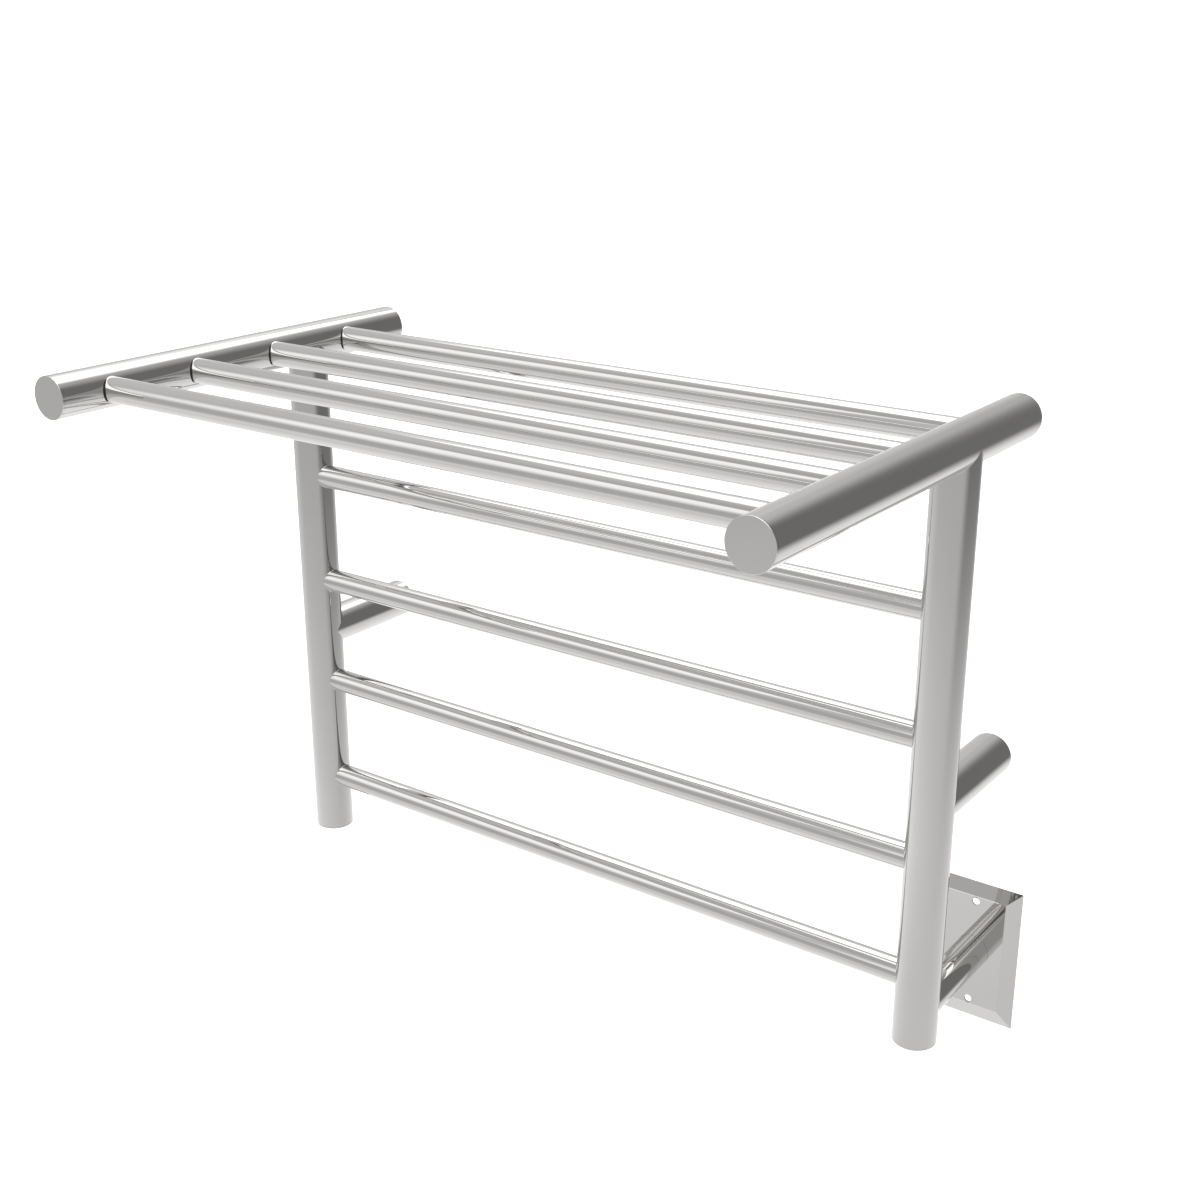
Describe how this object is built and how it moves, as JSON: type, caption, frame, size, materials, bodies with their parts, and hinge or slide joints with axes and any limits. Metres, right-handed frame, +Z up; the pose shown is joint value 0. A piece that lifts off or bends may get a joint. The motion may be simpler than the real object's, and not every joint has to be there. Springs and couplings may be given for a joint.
{
  "type": "towel warmer rack",
  "caption": "Wall-mounted electric towel warmer: a ladder of polished round rungs under a slatted shelf on two side tubes, with a wiring arm and a bevelled cover plate.",
  "frame": {"origin": "on the wall plane, at the centre of the rectangle of the four wall screws", "axes": "+X to the right of someone who faces the wall, +Y into the wall, +Z up"},
  "size_m": [0.6228, 0.3485, 0.483],
  "materials": {
    "tube_steel": "mirror-polished stainless steel",
    "bar_steel": "mirror-polished stainless steel",
    "cap_steel": "polished stainless steel disc",
    "plate_steel": "polished stainless steel sheet",
    "bracket_steel": "turned steel, zinc plated",
    "screw_steel": "stainless steel grub screws",
    "cable_sheath": "matt red-brown silicone",
    "black_sleeve": "black heat-shrink",
    "limiter_case": "bare can",
    "live_insulation": "black insulation",
    "neutral_insulation": "white insulation",
    "earth_insulation": "green insulation",
    "tinned_brass": "tinned brass",
    "black_rubber": "moulded rubber"
  },
  "bodies": {
    "rack": {"cable_end_seal": "black_sleeve", "cable_joint": "black_sleeve", "earth_lead": "earth_insulation", "earth_tab": "tinned_brass", "heating_cable": "cable_sheath", "lead_bush": "black_rubber", "left_header": "tube_steel", "left_header_cap": "cap_steel", "left_standoff": "tube_steel", "left_upright": "tube_steel", "left_upright_cap": "cap_steel", "live_lead": "live_insulation", "lower_left_bracket": "bracket_steel", "lower_right_bracket": "bracket_steel", "neutral_lead": "neutral_insulation", "right_header": "tube_steel", "right_header_cap": "cap_steel", "right_standoff": "tube_steel", "right_upright": "tube_steel", "right_upright_cap": "cap_steel", "rung_1": "bar_steel", "rung_2": "bar_steel", "rung_3": "bar_steel", "rung_4": "bar_steel", "set_screws": "screw_steel", "shelf_bar_1": "bar_steel", "shelf_bar_2": "bar_steel", "shelf_bar_3": "bar_steel", "shelf_bar_4": "bar_steel", "thermal_limiter": "limiter_case", "upper_left_bracket": "bracket_steel", "upper_right_bracket": "bracket_steel", "wiring_arm": "tube_steel"},
    "plate": {"cover_plate": "plate_steel", "plate_grip_ring": "black_rubber"}
  },
  "joints": [
    {"name": "cover_plate_slide", "type": "slide", "parent": "rack", "child": "plate", "axis": [0, -1, 0], "range_m": [0, 0.078]}
  ]
}
